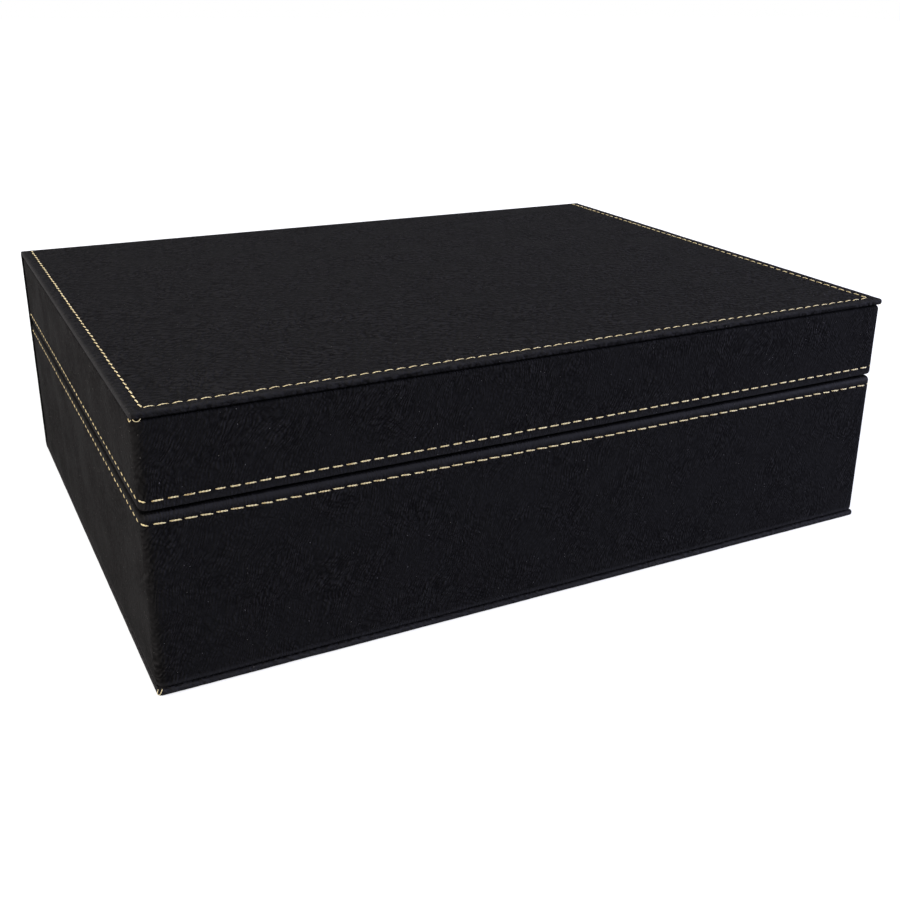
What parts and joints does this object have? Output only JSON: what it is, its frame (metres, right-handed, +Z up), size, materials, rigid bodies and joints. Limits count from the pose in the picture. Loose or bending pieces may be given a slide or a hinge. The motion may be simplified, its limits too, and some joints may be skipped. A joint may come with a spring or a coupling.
{
  "type": "leatherette gift box",
  "caption": "Rectangular book-style gift box: a leatherette-covered lid, spine and bottom board fold on two bends along the back and close over two lined trays that meet rim to rim.",
  "frame": {"origin": "on the table under the middle of the closed case", "axes": "+X along the case's width, to the right seen from the front, +Y from the front to the spine, +Z up"},
  "size_m": [0.31, 0.2423, 0.1003],
  "materials": {
    "leatherette": "matte black leatherette with a fine wrinkled grain",
    "thread": "cream-gold twisted sewing thread",
    "lining": "black short-pile velvet",
    "liner_cloth": "black woven backing cloth",
    "greyboard": "plain grey pulp board",
    "wall_core": "plain fibreboard",
    "magnet": "nickel-plated"
  },
  "bodies": {
    "base": {"bottom_board": "greyboard", "bottom_cover": "leatherette", "bottom_stitching": "thread", "lower_hinge_strip": "leatherette", "lower_hinge_liner": "liner_cloth", "base_front_wall": "wall_core", "base_back_wall": "wall_core", "base_left_wall": "wall_core", "base_right_wall": "wall_core", "base_wrap": "leatherette", "base_rim_stitching": "thread", "base_floor_board": "greyboard", "base_lining": "lining", "base_pad": "lining", "base_magnets": "magnet"},
    "spine": {"spine_board": "greyboard", "spine_cover": "leatherette", "spine_liner": "liner_cloth", "spine_stitching": "thread", "upper_hinge_strip": "leatherette", "upper_hinge_liner": "liner_cloth"},
    "lid": {"lid_board": "greyboard", "lid_cover": "leatherette", "lid_stitching": "thread", "lid_front_wall": "wall_core", "lid_back_wall": "wall_core", "lid_left_wall": "wall_core", "lid_right_wall": "wall_core", "lid_wrap": "leatherette", "lid_rim_stitching": "thread", "lid_ceiling_board": "greyboard", "lid_lining": "lining", "lid_pad": "lining", "lid_magnets": "magnet"}
  },
  "joints": [
    {"name": "spine_hinge", "type": "hinge", "parent": "base", "child": "spine", "pos_m": [0, 0.11997, 0.00103], "axis": [-1, 0, 0], "range_deg": [0, 90], "deforming": ["lower_hinge_strip", "lower_hinge_liner"]},
    {"name": "lid_hinge", "type": "hinge", "parent": "spine", "child": "lid", "pos_m": [0, 0.11997, 0.09897], "axis": [-1, 0, 0], "range_deg": [0, 90], "deforming": ["upper_hinge_strip", "upper_hinge_liner"]}
  ]
}
